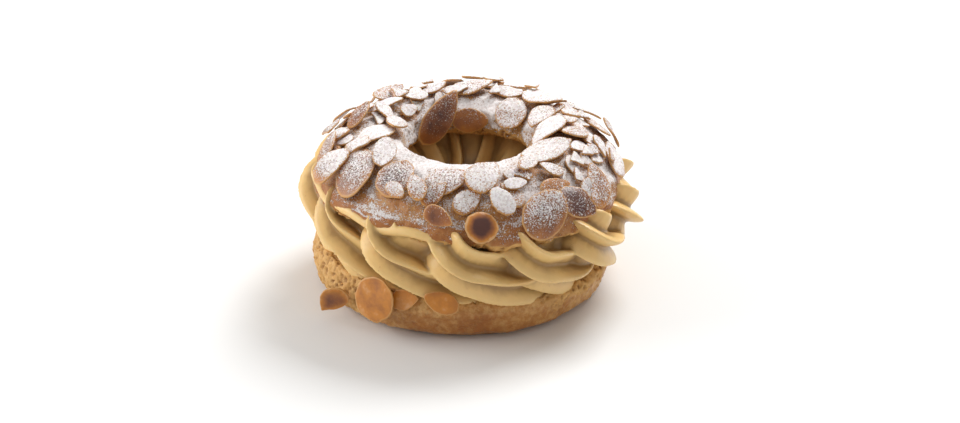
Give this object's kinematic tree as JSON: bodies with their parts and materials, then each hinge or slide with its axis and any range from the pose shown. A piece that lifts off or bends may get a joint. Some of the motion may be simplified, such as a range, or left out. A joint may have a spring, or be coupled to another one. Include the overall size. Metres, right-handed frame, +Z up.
{
  "type": "paris-brest pastry",
  "caption": "Ring-shaped choux pastry split across, filled with one ring of piped praline cream in overlapping loops, its lid covered in flaked almonds.",
  "frame": {"origin": "middle of the flat ring the pastry rests on, at the centre of its outline", "axes": "+Z up through the hole, +Y to the back, +X to the right seen from the front"},
  "size_m": [0.0969, 0.0985, 0.0514],
  "materials": {
    "choux_crust": "baked golden brown crust with powdered sugar",
    "praline_cream": "smooth satin cream",
    "almond_pale": "pale toasted almond slice",
    "almond_toasted": "toasted almond slice with brown rim",
    "almond_dark": "dark toasted almond slice"
  },
  "bodies": {
    "root": {"choux_base": "choux_crust", "choux_lid": "choux_crust", "praline_cream": "praline_cream", "almond_01": "almond_toasted", "almond_02": "almond_dark", "almond_03": "almond_pale", "almond_04": "almond_toasted", "almond_05": "almond_dark", "almond_06": "almond_pale", "almond_07": "almond_toasted", "almond_08": "almond_dark", "almond_09": "almond_pale", "almond_10": "almond_toasted", "almond_11": "almond_dark", "almond_12": "almond_pale", "almond_13": "almond_toasted", "almond_14": "almond_dark", "almond_15": "almond_pale", "almond_16": "almond_toasted", "almond_17": "almond_dark", "almond_18": "almond_pale", "almond_19": "almond_toasted", "almond_20": "almond_dark", "almond_21": "almond_pale", "almond_22": "almond_toasted", "almond_23": "almond_dark", "almond_24": "almond_pale", "almond_25": "almond_toasted", "almond_26": "almond_dark", "almond_27": "almond_pale", "almond_28": "almond_toasted", "almond_29": "almond_dark", "almond_30": "almond_pale", "almond_31": "almond_toasted", "almond_32": "almond_dark", "almond_33": "almond_pale", "almond_34": "almond_toasted", "almond_35": "almond_dark", "almond_36": "almond_pale", "almond_37": "almond_toasted", "almond_38": "almond_dark", "almond_39": "almond_pale", "almond_40": "almond_toasted", "almond_41": "almond_dark", "almond_42": "almond_pale", "almond_43": "almond_toasted", "almond_44": "almond_dark", "almond_45": "almond_pale", "almond_46": "almond_toasted", "almond_47": "almond_dark", "almond_48": "almond_pale", "almond_49": "almond_toasted"}
  },
  "joints": []
}
